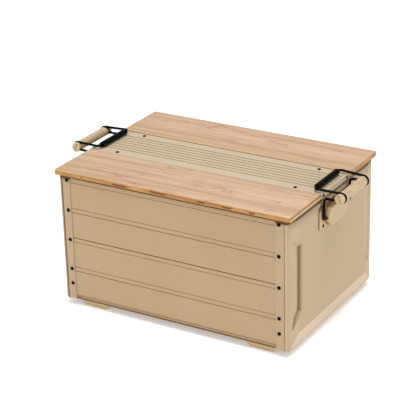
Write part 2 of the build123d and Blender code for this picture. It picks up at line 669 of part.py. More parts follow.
# ---- fasteners, each kind as one group ----
flange_screw = screw(HEAD_R, HEAD_HEIGHT, SHANK_R, FLANGE_SHANK)
keep(fasteners(flange_front + flange_back, flange_screw), "flange_screws")
strip_screw = screw(HEAD_R, HEAD_HEIGHT, SHANK_R, STRIP_SHANK)
keep(fasteners(strip_planes, strip_screw), "lid_strip_screws")
cap_screw = screw(SMALL_HEAD_R, SMALL_HEAD_HEIGHT, SMALL_SHANK_R, CAP_SHANK)
keep(fasteners(cap_planes_right + cap_planes_left, cap_screw), "lid_end_cap_screws")
batten_screw = screw(SMALL_HEAD_R, SMALL_HEAD_HEIGHT, SHANK_R, BATTEN_SHANK)
keep(fasteners(batten_planes, batten_screw), "lid_board_screws")
floor_screw = screw(SMALL_HEAD_R, SMALL_HEAD_HEIGHT, SHANK_R, FLOOR_SHANK)
keep(fasteners(floor_planes, floor_screw), "floor_screws")
foot_screw = screw(SMALL_HEAD_R, SMALL_HEAD_HEIGHT, SHANK_R, FOOT_SHANK)
keep(fasteners(foot_planes, foot_screw), "foot_screws")
bearer_screw = screw(SMALL_HEAD_R, SMALL_HEAD_HEIGHT, SHANK_R, BEARER_SHANK)
keep(fasteners(bearer_planes, bearer_screw), "bearer_screws")
bracket_screw = screw(SMALL_HEAD_R, SMALL_HEAD_HEIGHT, SHANK_R, BRACKET_SHANK)
keep(fasteners(bracket_planes_right + bracket_planes_left, bracket_screw), "bracket_screws")
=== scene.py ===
import bpy
import bmesh
import json
import math
from mathutils import Matrix, Vector


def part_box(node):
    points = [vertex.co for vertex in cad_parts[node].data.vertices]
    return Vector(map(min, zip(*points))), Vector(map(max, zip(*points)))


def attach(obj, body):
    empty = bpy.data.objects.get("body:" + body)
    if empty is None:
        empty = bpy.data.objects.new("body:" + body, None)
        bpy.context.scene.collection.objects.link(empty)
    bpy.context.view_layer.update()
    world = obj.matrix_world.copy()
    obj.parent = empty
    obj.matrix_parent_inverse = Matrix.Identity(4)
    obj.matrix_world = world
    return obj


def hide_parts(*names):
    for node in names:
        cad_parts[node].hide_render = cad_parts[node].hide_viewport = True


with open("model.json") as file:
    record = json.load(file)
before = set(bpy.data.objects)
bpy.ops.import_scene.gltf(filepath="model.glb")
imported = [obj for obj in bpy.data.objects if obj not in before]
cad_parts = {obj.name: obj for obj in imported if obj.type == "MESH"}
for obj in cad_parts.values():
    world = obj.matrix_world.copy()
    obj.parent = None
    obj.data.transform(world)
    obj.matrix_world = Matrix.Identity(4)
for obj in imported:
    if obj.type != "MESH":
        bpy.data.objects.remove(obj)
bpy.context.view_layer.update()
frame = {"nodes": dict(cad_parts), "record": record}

MM = 0.001  # sizes below are in metres
WELD = 0.005 * MM
SMOOTH_ANGLE = math.radians(14)

# ---- colours, as sRGB values from 0 to 255 ----
BOARD_TAN = (186, 158, 125)
SHEET_TAN = (192, 168, 136)
# the feet's own tan, painted paler than the boards as painted light against the shade under the box
LIT_FOOT_TAN = (205, 178, 140)
STRIP_TAN = (204, 187, 158)
HIGHLIGHT_TAN = (226, 206, 178)
# painted highlights on the end panels' bends, pocket lips, bevels and pocket floors
BRACKET_TAN = (200, 174, 136)
BAMBOO_PALE = (224, 195, 166)
BAMBOO_WARM = (204, 168, 135)
BAMBOO_LINE = (172, 132, 96)
BAMBOO_SMUDGE = (158, 118, 88)
EDGE_PALE = (200, 154, 96)
EDGE_WARM = (178, 127, 68)
# the dark streaks in the bamboo's cut edges, and painted shade along their foot
EDGE_STREAK_AND_SHADE = (98, 54, 18)
EDGE_SOLE = (214, 183, 136)
PLY_PALE = (198, 164, 120)
COAT_BLACK = (6, 6, 7)
SCUFF_BLACK = (26, 25, 24)
RUBBER_BLACK = (8, 8, 9)
RUBBER_DUST = (18, 18, 20)
GRIP_TAN = (212, 187, 152)
GRIP_MOTTLE = (160, 128, 86)
# painted shade and painted shadow on the coats, and the grip's own dark pits
SHADE_AND_PIT_TAN = (98, 66, 30)
CONTACT_TAN = (230, 219, 204)


def linear(colour, lift=1.0):
    """An sRGB colour as the linear RGBA that Blender's sockets take."""
    channels = [c / 255 for c in colour]
    return tuple(
        lift * (c / 12.92 if c <= 0.04045 else ((c + 0.055) / 1.055) ** 2.4) for c in channels
    ) + (1.0,)


# ---- short calls for node trees ----
class NodeMaths:
    """What a material's tree and a Geometry Nodes tree share: sockets, and sums on them."""

    def feed(self, target, value):
        """Sets a socket to a number or colour, or links it to another socket."""
        if isinstance(value, bpy.types.NodeSocket):
            self.tree.links.new(value, target)
        else:
            target.default_value = value

    def math(self, operation, first, second=0.0):
        made = self.tree.nodes.new("ShaderNodeMath")
        made.operation = operation
        self.feed(made.inputs[0], first)
        self.feed(made.inputs[1], second)
        return made.outputs[0]

    def plus(self, first, second):
        return self.math("ADD", first, second)

    def minus(self, first, *others):
        for other in others:
            first = self.math("SUBTRACT", first, other)
        return first

    def times(self, first, *others):
        """The product. Of masks, it holds only where all of them hold."""
        for other in others:
            first = self.math("MULTIPLY", first, other)
        return first

    def over(self, first, second):
        return self.math("DIVIDE", first, second)

    def most(self, first, *others):
        """The largest. Of masks, it holds where any of them holds."""
        for other in others:
            first = self.math("MAXIMUM", first, other)
        return first

    def least(self, first, second):
        return self.math("MINIMUM", first, second)

    def absolute(self, value):
        return self.math("ABSOLUTE", value)


CREVICE_RAYS = 8
HIDDEN_SHARE, OPEN_SHARE = 0.45, 0.95  # of the rays that get away, in a corner and on a face


class Finish(NodeMaths):
    """A material under construction, with short calls for the nodes that every finish uses."""

    def __init__(self, name):
        self.material = bpy.data.materials.new(name)
        self.material.use_nodes = True
        self.tree = self.material.node_tree
        self.tree.nodes.clear()
        self.shader = self.node("ShaderNodeBsdfPrincipled")
        out = self.node("ShaderNodeOutputMaterial")
        self.feed(out.inputs["Surface"], self.shader.outputs["BSDF"])
        self.place = self.node("ShaderNodeTexCoord").outputs["Object"]

    def node(self, kind, **settings):
        made = self.tree.nodes.new(kind)
        for key, value in settings.items():
            setattr(made, key, value)
        return made

    def set(self, **values):
        """Sets the shader's own inputs, with _ for each space in a name."""
        for key, value in values.items():
            self.feed(self.shader.inputs[key.replace("_", " ")], value)

    def stretch(self, x, y, z, turn=(0, 0, 0)):
        """Object coordinates scaled and turned, so that a pattern runs the right way."""
        mapping = self.node("ShaderNodeMapping")
        self.feed(mapping.inputs["Vector"], self.place)
        self.feed(mapping.inputs["Scale"], (x, y, z))
        self.feed(mapping.inputs["Rotation"], turn)
        return mapping.outputs["Vector"]

    def noise(self, vector, scale=1.0, detail=3.0, rough=0.5, warp=0.0):
        made = self.node("ShaderNodeTexNoise")
        self.feed(made.inputs["Vector"], vector)
        self.feed(made.inputs["Scale"], scale)
        self.feed(made.inputs["Detail"], detail)
        self.feed(made.inputs["Roughness"], rough)
        self.feed(made.inputs["Distortion"], warp)
        return made.outputs["Fac"]

    def cells(self, vector, scale):
        """Distance to the middle of the nearest of many scattered cells."""
        made = self.node("ShaderNodeTexVoronoi")
        self.feed(made.inputs["Vector"], vector)
        self.feed(made.inputs["Scale"], scale)
        return made.outputs["Distance"]

    def span(self, value, start, end, from_level=0.0, to_level=1.0):
        """The value's way from start to end, as a way between two levels, held at both ends."""
        made = self.node("ShaderNodeMapRange")
        self.feed(made.inputs["Value"], value)
        self.feed(made.inputs["From Min"], start)
        self.feed(made.inputs["From Max"], end)
        self.feed(made.inputs["To Min"], from_level)
        self.feed(made.inputs["To Max"], to_level)
        return made.outputs["Result"]

    def near(self, value, middle, reach):
        """1 where the value is at the middle, falling to 0 at the reach."""
        return self.span(self.absolute(self.minus(value, middle)), 0.0, reach, 1.0, 0.0)

    def blend(self, factor, first, second):
        """The first colour where the factor is 0, and the second where it is 1."""
        made = self.node("ShaderNodeMix", data_type="RGBA")
        colour_sockets = [socket for socket in made.inputs if socket.type == "RGBA"]
        self.feed(made.inputs["Factor"], factor)
        self.feed(colour_sockets[0], first)
        self.feed(colour_sockets[1], second)
        return [socket for socket in made.outputs if socket.type == "RGBA"][0]

    def split(self, vector):
        made = self.node("ShaderNodeSeparateXYZ")
        self.feed(made.inputs["Vector"], vector)
        return made.outputs["X"], made.outputs["Y"], made.outputs["Z"]

    def axes(self):
        """The surface's place along X, Y and Z, in metres."""
        return self.split(self.place)

    def facing(self):
        """How far the surface looks along X, Y and Z, from -1 to 1."""
        return self.split(self.node("ShaderNodeTexCoord").outputs["Normal"])

    def crevice(self, reach):
        """1 in inner corners and against a neighbouring part, 0 on open faces."""
        made = self.node("ShaderNodeAmbientOcclusion", samples=CREVICE_RAYS)
        self.feed(made.inputs["Distance"], reach)
        return self.span(made.outputs["AO"], HIDDEN_SHARE, OPEN_SHARE, 1.0, 0.0)

    def relief(self, height, strength, distance):
        made = self.node("ShaderNodeBump")
        self.feed(made.inputs["Strength"], strength)
        self.feed(made.inputs["Distance"], distance)
        self.feed(made.inputs["Height"], height)
        self.feed(self.shader.inputs["Normal"], made.outputs["Normal"])


# ---- powder coat, and where painted shade and painted highlights lie on each coated part ----
# Below, a cut is where a noise starts to show and where it is full, a facing is how far a
# face looks one way, and a level is how strongly a mark shows, from 0 to 1.
NOISE_RANGE = (0.3, 0.7)  # where nearly all values of a noise lie
NOISE_MIDDLE = (0.35, 0.65)
COAT_SHINE = 0.15
COAT_GLOSS_SPREAD = (0.05, 0.07)  # below and above a coat's own roughness
MOTTLE_LIFTS = (0.97, 1.03)  # how far the coat's own colour is darkened and lightened
SPECK_LIFT, SPECK_LEVEL = 0.80, 0.10
WORN_SPOT_CUT = (0.66, 0.74)
WORN_SPOT_LIFT, WORN_SPOT_LEVEL = 1.20, 0.08
# reaches of the painted shade in inner corners
CORNER_SHADE_REACH = 3.5 * MM
PANEL_CORNER_SHADE_REACH = 8.0 * MM
BRACKET_CORNER_SHADE_REACH = 6.0 * MM
COAT_PEEL = 0.12 * MM


def powder_coat(
    name, colour, roughness=0.46, shaded=None, highlighted=None, corner_shade=0.5, reach=CORNER_SHADE_REACH
):
    """Satin powder coat: fine orange peel, faint mottling, and painted shade in its inner corners.

    The two optional functions, where given, take the finish and return how much painted
    shade lies in its grooves and creases and how much painted highlight lies on its bends."""
    coat = Finish(name)
    mottle = coat.noise(coat.place, scale=7.0, detail=3.0)
    speck = coat.noise(coat.place, scale=900.0, detail=2.0)
    peel = coat.noise(coat.place, scale=1500.0, detail=2.0, rough=0.6)
    wear = coat.noise(coat.place, scale=42.0, detail=6.0, rough=0.7)
    wear_and_shade = coat.span(wear, *WORN_SPOT_CUT)
    dark, light = (linear(colour, lift) for lift in MOTTLE_LIFTS)
    shade = coat.blend(coat.span(mottle, *NOISE_RANGE), dark, light)
    specks = coat.span(speck, *NOISE_MIDDLE, 0.0, SPECK_LEVEL)
    grained = coat.blend(specks, shade, linear(colour, SPECK_LIFT))
    worn_spots = coat.times(wear_and_shade, WORN_SPOT_LEVEL)
    coated = coat.blend(worn_spots, grained, linear(colour, WORN_SPOT_LIFT))
    # painted highlights on bends, lips and bevels
    if highlighted:
        coated = coat.blend(highlighted(coat), coated, linear(HIGHLIGHT_TAN))
    # painted shade and painted shadow in grooves, creases and under neighbouring parts
    if shaded:
        coated = coat.blend(shaded(coat), coated, linear(SHADE_AND_PIT_TAN))
    # painted shade in inner corners and against neighbouring parts
    corners = coat.times(coat.crevice(reach), corner_shade)
    coat.set(Base_Color=coat.blend(corners, coated, linear(SHADE_AND_PIT_TAN)))
    coat.set(Specular_IOR_Level=COAT_SHINE)
    glossier, rougher = COAT_GLOSS_SPREAD
    levels = roughness - glossier, roughness + rougher
    coat.set(Roughness=coat.span(speck, *NOISE_RANGE, *levels))
    coat.relief(peel, strength=0.08, distance=COAT_PEEL)
    return coat.material


# Facings from turned away to flat on, and from flat on to bent away.
FLAT_ON = (0.7, 0.9)
BENT_AWAY = (0.97, 0.9)

# Places on an end panel: x outward from the middle, y to either side, z up.
PANEL_FOLD = 269.0 * MM
FOLD_SHADE = (1.1 * MM, 2.6 * MM)  # from the fold, where its painted shade is full and where it ends
RIGHT_FOLD_LEVEL = 0.3
FLANGE_LEVEL = 0.8
FLANGE_SHADE = 0.10  # painted shade over the whole flange, as a share of its level
# painted highlight on the bend beside the fold
FOLD_BEND = PANEL_FOLD + 3.2 * MM
BEND_REACH = 1.9 * MM
BEND_LEVEL = 0.45
LEFT_BEND_SHADE = (-270.0 * MM, -272.0 * MM)  # x, so painted shade on the left end's bend only
LEFT_BEND_SHADE_LEVEL = 0.3
# painted shade at the foot of each pocket's steep wall
POCKET_WALL = 150.8 * MM
WALL_REACH = 3.2 * MM
WALL_DEPTH = (2.0 * MM, 5.0 * MM)
WALL_LEVEL = 0.42
# painted light on each pocket's floor
POCKET_FLOOR_DEPTH = (5.0 * MM, 7.0 * MM)
POCKET_FLOOR_FACING = (0.95, 0.97)
POCKET_FLOOR_LEVEL = 0.35
# painted highlight along each pocket's lip
POCKET_LIP = 186.7 * MM
LIP_REACH = 2.2 * MM
LIP_FACING = (0.9, 0.96)
LIP_LEVEL = 0.6
POCKET_MIDDLE = 165.0 * MM
WALL_FADE = 768.0 * MM  # from the pocket's middle height, where the wall's painted shade has faded away
LIP_FADE = 288.0 * MM
RIM_SHADOW = (10.0 * MM, 6.0 * MM)  # painted shadow under the lid: below the panel's top, where it starts and where it is full
# a fainter painted shadow further down under the lid
UNDER_RIM_SHADOW = (26.0 * MM, 7.0 * MM)
UNDER_RIM_LEVEL = 0.34
RIGHT_END = (-1.0 * MM, 1.0 * MM)  # x, from the left half to the right half, where the fold's painted shade is fainter
BEVEL_FACING = math.cos(math.radians(9.3))
BEVEL_SPREAD = 0.008
BEVEL_DOWN = (-0.13, -0.15)  # painted reflection of the floor: bevels that look further down than this are paler
BEVEL_LEVELS = (0.15, 0.75)


def panel_painted_shade(coat):
    """Painted shade along the flange's fold, at the foot of each pocket's steep wall, on the left
    bend and over the flange, and painted shadow under the rim.
    """
    x, y, z = coat.axes()
    out, side = coat.absolute(x), coat.absolute(y)
    facing_x, facing_y, _ = coat.facing()
    faces_end, faces_side = coat.absolute(facing_x), coat.absolute(facing_y)
    panel_face, _, panel_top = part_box("end_panel_right")[1]
    on_flange = coat.span(faces_side, *FLAT_ON, 0.0, FLANGE_LEVEL)
    on_bend = coat.span(faces_end, *BENT_AWAY)

    from_fold = coat.absolute(coat.minus(out, PANEL_FOLD))
    # painted shade along the fold, stronger on the left end
    fold = coat.times(
        coat.span(from_fold, *FOLD_SHADE, 1.0, 0.0),
        coat.span(x, *RIGHT_END, 1.0, RIGHT_FOLD_LEVEL),
        on_flange,
    )
    wall = coat.times(
        coat.near(side, POCKET_WALL, WALL_REACH),
        coat.span(coat.minus(panel_face, out), *WALL_DEPTH, 0.0, WALL_LEVEL),
        coat.near(z, POCKET_MIDDLE, WALL_FADE),
    )
    # painted shade on the left end's bend, which looks away from the light
    wear_and_shade = coat.times(coat.span(x, *LEFT_BEND_SHADE, 0.0, LEFT_BEND_SHADE_LEVEL), on_bend)
    down = coat.minus(panel_top, z)
    # painted shadow under the lid's edge
    rim = coat.span(down, *RIM_SHADOW)
    under_rim = coat.times(
        coat.span(down, *UNDER_RIM_SHADOW, 0.0, UNDER_RIM_LEVEL), coat.span(faces_end, *FLAT_ON)
    )
    # painted shade over every face that looks to the front or back
    side_shade = coat.times(on_flange, FLANGE_SHADE)
    return coat.most(fold, wall, wear_and_shade, side_shade, rim, under_rim)


def panel_painted_highlights(coat):
    """Painted highlights: the bend beside the fold, the lip of each pocket, the bevels and the
    pocket floors.
    """
    x, y, z = coat.axes()
    out, side = coat.absolute(x), coat.absolute(y)
    facing_x, _, facing_z = coat.facing()
    faces_end = coat.absolute(facing_x)
    panel_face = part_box("end_panel_right")[1].x

    bend = coat.times(
        coat.near(out, FOLD_BEND, BEND_REACH), coat.span(faces_end, *BENT_AWAY), BEND_LEVEL
    )
    lip = coat.times(
        coat.near(side, POCKET_LIP, LIP_REACH),
        coat.near(z, POCKET_MIDDLE, LIP_FADE),
        coat.span(faces_end, *LIP_FACING),
        LIP_LEVEL,
    )
    # painted reflection of the floor on the bevels that look down
    bevel = coat.times(
        coat.near(faces_end, BEVEL_FACING, BEVEL_SPREAD),
        coat.span(facing_z, *BEVEL_DOWN, *BEVEL_LEVELS),
    )
    # painted light on each pocket's floor
    floor = coat.times(
        coat.span(coat.minus(panel_face, out), *POCKET_FLOOR_DEPTH, 0.0, POCKET_FLOOR_LEVEL),
        coat.span(faces_end, *POCKET_FLOOR_FACING),
    )
    return coat.most(bend, lip, bevel, floor)


# Places on the wall boards and the rails: z up, depth inward from the board's face.
LOWER_GROOVES = 84.0 * MM
UPPER_GROOVES = 224.0 * MM
PAIR_REACH = 4.0 * MM
PAIR_LEVEL = 0.3
SEAM_REACH = 1.6 * MM
SEAM_LINE_REACH = 1.5 * MM
SEAM_LINE_LEVEL = 0.8
BOARD_GROOVE_DEPTH = (0.1 * MM, 1.1 * MM)
BOARD_GROOVE_LEVEL = 0.10
FACE_DEPTH = (0.05 * MM, 0.3 * MM)
LID_SHADE_REACH = 22.0 * MM
LID_SHADE = (11.0 * MM, 5.0 * MM)  # below the board's top
BOARD_FOOT_SHADE = (3.8 * MM, 2.0 * MM)  # painted shade above the board's foot
BOARD_FOOT_LEVEL = 0.5
# painted shade along the rails' lower edge, under the box
RAIL_FOOT_SHADE = (5.0 * MM, 3.0 * MM)
RAIL_FOOT_LEVEL = 0.75
BRACKET_TOP_SHADOW = (11.0 * MM, 7.0 * MM)  # painted shadow below the bracket's top
BRACKET_TOP_LEVEL = 0.8


def board_painted_shade(coat):
    """Painted shade in the V grooves, in the seam between two boards, under the lid and at the
    foot.
    """
    _, y, z = coat.axes()
    face, foot = -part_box("front_board_upper")[0].y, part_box("front_board_lower")[0].z
    top, seam_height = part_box("front_board_upper")[1].z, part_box("front_board_lower")[1].z
    depth = coat.minus(face, coat.absolute(y))
    below_face = coat.span(depth, *FACE_DEPTH)

    # painted shade in the grooves and the seam, and painted shadow under the lid
    grooves = coat.span(depth, *BOARD_GROOVE_DEPTH, 0.0, BOARD_GROOVE_LEVEL)
    lower_pair = coat.near(z, LOWER_GROOVES, PAIR_REACH)
    upper_pair = coat.near(z, UPPER_GROOVES, PAIR_REACH)
    darker = coat.times(coat.most(lower_pair, upper_pair), PAIR_LEVEL, below_face)
    seam = coat.times(coat.near(z, seam_height, SEAM_REACH), below_face)
    seam_line = coat.times(coat.near(z, seam_height, SEAM_LINE_REACH), SEAM_LINE_LEVEL)
    near_lid = coat.times(
        coat.crevice(LID_SHADE_REACH), coat.span(coat.minus(top, z), *LID_SHADE)
    )
    lower_edge = coat.span(coat.minus(z, foot), *BOARD_FOOT_SHADE, 0.0, BOARD_FOOT_LEVEL)
    return coat.most(grooves, darker, seam, seam_line, near_lid, lower_edge)


def rail_foot_shade(coat):
    """Painted shade along the lower edge of the rails under the walls."""
    z = coat.axes()[2]
    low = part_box("bottom_rail_front")[0].z
    return coat.span(coat.minus(z, low), *RAIL_FOOT_SHADE, 0.0, RAIL_FOOT_LEVEL)


def bracket_top_shadow(coat):
    """Painted shadow along the top of the bracket, where it meets the lid's end cap."""
    z = coat.axes()[2]
    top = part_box("bracket_right")[1].z
    return coat.span(coat.minus(top, z), *BRACKET_TOP_SHADOW, 0.0, BRACKET_TOP_LEVEL)


# Places on the lid's ribbed strip, whose ribs repeat along y.
RIB_PITCH = 12.8 * MM
RIB_FOOT = 0.33  # from the middle of a rib, as a share of the pitch
RIB_FOOT_REACH = 0.10
RIB_SINK = (0.1 * MM, 0.9 * MM)
RIB_FOOT_FACING = (0.2, 0.9)  # how far up the foot and the wall of a rib look
RIB_WALL_FACING = (0.5, 0.1)
RIB_WALL_SHARE = 0.5
RIB_LEVEL = 0.42


def rib_shade(coat):
    """Painted shade along the foot of each rib of the lid's strip and on the ribs' walls."""
    _, y, z = coat.axes()
    facing_up = coat.facing()[2]
    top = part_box("lid_strip")[1].z
    across = coat.math("FRACT", coat.plus(coat.over(y, RIB_PITCH), 0.5))
    from_middle = coat.absolute(coat.minus(across, 0.5))
    sunk = coat.span(coat.minus(top, z), *RIB_SINK)
    foot = coat.times(
        coat.near(from_middle, RIB_FOOT, RIB_FOOT_REACH),
        sunk,
        coat.span(facing_up, *RIB_FOOT_FACING),
    )
    # painted shade on the ribs' walls, darker the steeper they stand
    wall = coat.times(sunk, coat.span(facing_up, *RIB_WALL_FACING, 0.0, RIB_WALL_SHARE))
    return coat.times(coat.most(foot, wall), RIB_LEVEL)


SLOT_DEPTH = (0.3 * MM, 0.5 * MM)
SLOT_FACING = (0.7, 0.95)
SLOT_LEVEL = 0.85


def slot_shade(coat):
    """Painted shade in the screwdriver slot of the grip's end plugs."""
    y = coat.axes()[1]
    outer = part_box("grip_cap_right_back")[1].y
    sunk = coat.span(coat.minus(outer, coat.absolute(y)), *SLOT_DEPTH)
    flat = coat.span(coat.absolute(coat.facing()[1]), *SLOT_FACING)
    return coat.times(sunk, flat, SLOT_LEVEL)


# ---- black wire, screws and sleeves ----
WIRE_PEEL = 0.1 * MM
SCUFF_CUT = (0.62, 0.74)
SCUFF_ROUGHER = 0.2
RUBBER_SHINE = 0.05
RUBBER_GRAIN = 0.15 * MM
RUBBER_DUST_CUT = (0.5, 0.8)
RUBBER_GLOSS = (0.34, 0.50)  # roughness where it is clean and where it is dusty


def black_coat(name, roughness=0.26, shine=0.10):
    """Semi-gloss black coat, with a few paler scuffs."""
    coat = Finish(name)
    scuff = coat.span(coat.noise(coat.place, scale=260.0, detail=5.0, rough=0.7), *SCUFF_CUT)
    peel = coat.noise(coat.place, scale=1800.0, detail=2.0)
    coat.set(Base_Color=coat.blend(scuff, linear(COAT_BLACK), linear(SCUFF_BLACK)))
    coat.set(Roughness=coat.span(scuff, 0.0, 1.0, roughness, roughness + SCUFF_ROUGHER))
    coat.set(Specular_IOR_Level=shine)
    coat.relief(peel, strength=0.10, distance=WIRE_PEEL)
    return coat.material


def rubber(name):
    """Soft black tube, slightly glossy and a little dusty."""
    skin = Finish(name)
    dusty = skin.noise(skin.place, scale=140.0, detail=5.0, rough=0.65)
    dust = skin.span(dusty, *RUBBER_DUST_CUT)
    skin.set(Base_Color=skin.blend(dust, linear(RUBBER_BLACK), linear(RUBBER_DUST)))
    skin.set(Roughness=skin.span(dust, 0.0, 1.0, *RUBBER_GLOSS))
    skin.set(Specular_IOR_Level=RUBBER_SHINE)
    grain = skin.noise(skin.place, scale=1300.0, detail=3.0)
    skin.relief(grain, strength=0.2, distance=RUBBER_GRAIN)
    return skin.material


# ---- bamboo and plywood ----
LAMELLA_WIDTH = 19.0 * MM
GRAIN_DEPTH = 0.1 * MM
STRIP_GAP = (-20.0 * MM, 20.0 * MM)  # y from the front board to the back board
OPEN_GRAIN = (-20.0 * MM, -170.0 * MM)  # y where the stripes start to open, to the front edge
STRIPE_CUT, STRIPE_LEVELS = (0.47, 0.62), (0.3, 0.37)
GRAIN_CUT, GRAIN_LEVEL = (0.45, 0.75), 0.38
JOINT_CUT, JOINT_LEVEL = (0.60, 0.68), 0.6
SMUDGE_CUT, SMUDGE_LEVEL = (0.52, 0.66), 0.6
SMUDGE_PATCH_CUT = (0.50, 0.62)  # smudges lie only in some patches of the board
LAMELLA_LEVEL = 0.8  # the warmest lamella, from pale to warm
CLOUD_CUT, CLOUD_LEVEL = (0.38, 0.66), 0.6
BACK_BOARD_LEVEL = 0.35
WOOD_GLOSS_SPREAD = (0.05, 0.10)  # below and above the wood's own roughness
PLY_LIFT = 0.88  # from the pale lamellae of the plywood to the warm ones


def bamboo(name, pale, warm, roughness=0.40):
    """Laminated bamboo: long lamellae of slightly different tone, fine grain and dark smudges.

    Returns the finish and the colour of its faces, for a finish that goes on from there."""
    wood = Finish(name)
    y = wood.axes()[1]
    row = wood.math("FLOOR", wood.over(y, LAMELLA_WIDTH))
    key = wood.node("ShaderNodeCombineXYZ")
    wood.feed(key.inputs["X"], row)
    tone = wood.node("ShaderNodeTexWhiteNoise", noise_dimensions="2D")
    wood.feed(tone.inputs["Vector"], key.outputs["Vector"])

    cloud = wood.noise(wood.stretch(2.6, 30.0, 30.0), detail=4.0, rough=0.55)
    band = wood.noise(wood.stretch(1.6, 70.0, 70.0), detail=2.0, warp=0.2)
    grain = wood.noise(wood.stretch(9.0, 420.0, 420.0), detail=5.0, rough=0.62, warp=0.3)
    fibre = wood.noise(wood.stretch(60.0, 2600.0, 2600.0), detail=2.0, rough=0.6)
    line = wood.noise(wood.stretch(3.4, 210.0, 210.0), detail=2.0)
    smudge = wood.noise(wood.stretch(30.0, 120.0, 120.0), detail=4.0, rough=0.6, warp=0.6)
    patch = wood.noise(wood.stretch(9.0, 30.0, 30.0, turn=(0, 0, 0.4)), detail=2.0)

    opening = wood.span(band, *STRIPE_CUT)
    stripe = wood.times(opening, wood.span(y, *OPEN_GRAIN, *STRIPE_LEVELS))
    fine = wood.times(wood.span(grain, *GRAIN_CUT), GRAIN_LEVEL)
    joint = wood.times(wood.span(line, *JOINT_CUT), JOINT_LEVEL)
    in_patch = wood.span(patch, *SMUDGE_PATCH_CUT)
    mark = wood.times(wood.span(smudge, *SMUDGE_CUT), in_patch, SMUDGE_LEVEL)

    lamella = wood.span(tone.outputs["Value"], 0.0, 1.0, 0.0, LAMELLA_LEVEL)
    face = wood.blend(lamella, pale, warm)
    face = wood.blend(wood.span(cloud, *CLOUD_CUT, 0.0, CLOUD_LEVEL), face, warm)
    face = wood.blend(wood.span(y, *STRIP_GAP, 0.0, BACK_BOARD_LEVEL), face, warm)
    for amount in (stripe, fine, joint):
        face = wood.blend(amount, face, linear(BAMBOO_LINE))
    face = wood.blend(mark, face, linear(BAMBOO_SMUDGE))
    wood.set(Base_Color=face)
    wood.set(Specular_IOR_Level=COAT_SHINE)
    glossier, rougher = WOOD_GLOSS_SPREAD
    levels = roughness - glossier, roughness + rougher
    wood.set(Roughness=wood.span(grain, *NOISE_RANGE, *levels))
    raised = wood.plus(grain, wood.times(fibre, 0.5))
    wood.relief(raised, strength=0.08, distance=GRAIN_DEPTH)
    return wood, face


# Heights on the lid boards' cut edges run from 0 at a board's foot to 1 at its top.
STREAK_ROW, STREAK_ROW_REACH = 0.52, 0.26
STREAK_ROW_SWAY = (-0.10, 0.16)
STREAK_ROW_CUT, STREAK_ROW_LEVEL = (0.15, 0.5), 0.75
STREAK_BREAK_CUT = (0.55, 0.57)
STREAK_CUT, STREAK_LEVEL = (0.46, 0.74), 0.5
EDGE_TONE_CUT = (0.40, 0.60)
# painted shade along the foot of the long cut edges, under the lid
LONG_EDGE_FOOT_SHADE, LONG_EDGE_FOOT_SHADE_LEVEL = (0.22, 0.08), 0.9
SHORT_EDGE_SOLE = (0.54, 0.46)
# painted shade along the foot of the short cut edges, under the lid
SHORT_EDGE_FOOT_SHADE, SHORT_EDGE_FOOT_SHADE_LEVEL = (0.14, 0.0), 0.8
SHORT_EDGE_LIFT = 0.88
SHORT_EDGE_FACING = (0.75, 0.9)
TOP_FACING, UNDERSIDE_FACING = (0.35, 0.92), (-0.99, -0.9)


def lid_bamboo(name):
    """Bamboo with warmer cut edges, a row of short dark streaks and painted shade at their foot."""
    wood, face = bamboo(name, linear(BAMBOO_PALE), linear(BAMBOO_WARM))
    low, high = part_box("lid_board_front")
    _, y, z = wood.axes()
    facing_x, _, facing_z = wood.facing()
    height = wood.over(wood.minus(z, low.z), high.z - low.z)

    wave = wood.noise(wood.stretch(7.0, 7.0, 0.0), detail=2.0)
    swayed = wood.plus(height, wood.span(wave, *NOISE_MIDDLE, *STREAK_ROW_SWAY))
    row = wood.span(wood.near(swayed, STREAK_ROW, STREAK_ROW_REACH), *STREAK_ROW_CUT)
    broken = wood.noise(wood.stretch(27.0, 27.0, 0.0), detail=1.0, rough=0.3)
    row = wood.times(row, wood.span(broken, *STREAK_BREAK_CUT), STREAK_ROW_LEVEL)
    streak = wood.noise(wood.stretch(30.0, 30.0, 700.0), detail=4.0, rough=0.6)
    tone = wood.noise(wood.stretch(17.0, 17.0, 150.0), detail=3.0)

    dark = linear(EDGE_STREAK_AND_SHADE)
    long_edge = wood.blend(wood.span(tone, *EDGE_TONE_CUT), linear(EDGE_PALE), linear(EDGE_WARM))
    long_edge = wood.blend(wood.span(streak, *STREAK_CUT, 0.0, STREAK_LEVEL), long_edge, dark)
    # painted shade along the foot of the long edges
    foot = wood.span(height, *LONG_EDGE_FOOT_SHADE, 0.0, LONG_EDGE_FOOT_SHADE_LEVEL)
    long_edge = wood.blend(wood.most(row, foot), long_edge, dark)
    upper = linear(EDGE_WARM, SHORT_EDGE_LIFT)
    short_edge = wood.blend(wood.span(height, *SHORT_EDGE_SOLE), upper, linear(EDGE_SOLE))
    # painted shade along the foot of the short edges
    short_foot = wood.span(height, *SHORT_EDGE_FOOT_SHADE, 0.0, SHORT_EDGE_FOOT_SHADE_LEVEL)
    short_edge = wood.blend(short_foot, short_edge, dark)
    short_edge = wood.blend(wood.span(y, *STRIP_GAP), short_edge, long_edge)
    on_short_edge = wood.span(wood.absolute(facing_x), *SHORT_EDGE_FACING)
    edge = wood.blend(on_short_edge, long_edge, short_edge)
    on_edge = wood.times(
        wood.span(facing_z, *TOP_FACING, 1.0, 0.0), wood.span(facing_z, *UNDERSIDE_FACING)
    )
    wood.set(Base_Color=wood.blend(on_edge, face, edge))
    return wood.material


def plywood(name):
    """Dull plywood with the same grain as the bamboo."""
    wood, _ = bamboo(name, linear(PLY_PALE), linear(PLY_PALE, PLY_LIFT), roughness=0.55)
    return wood.material


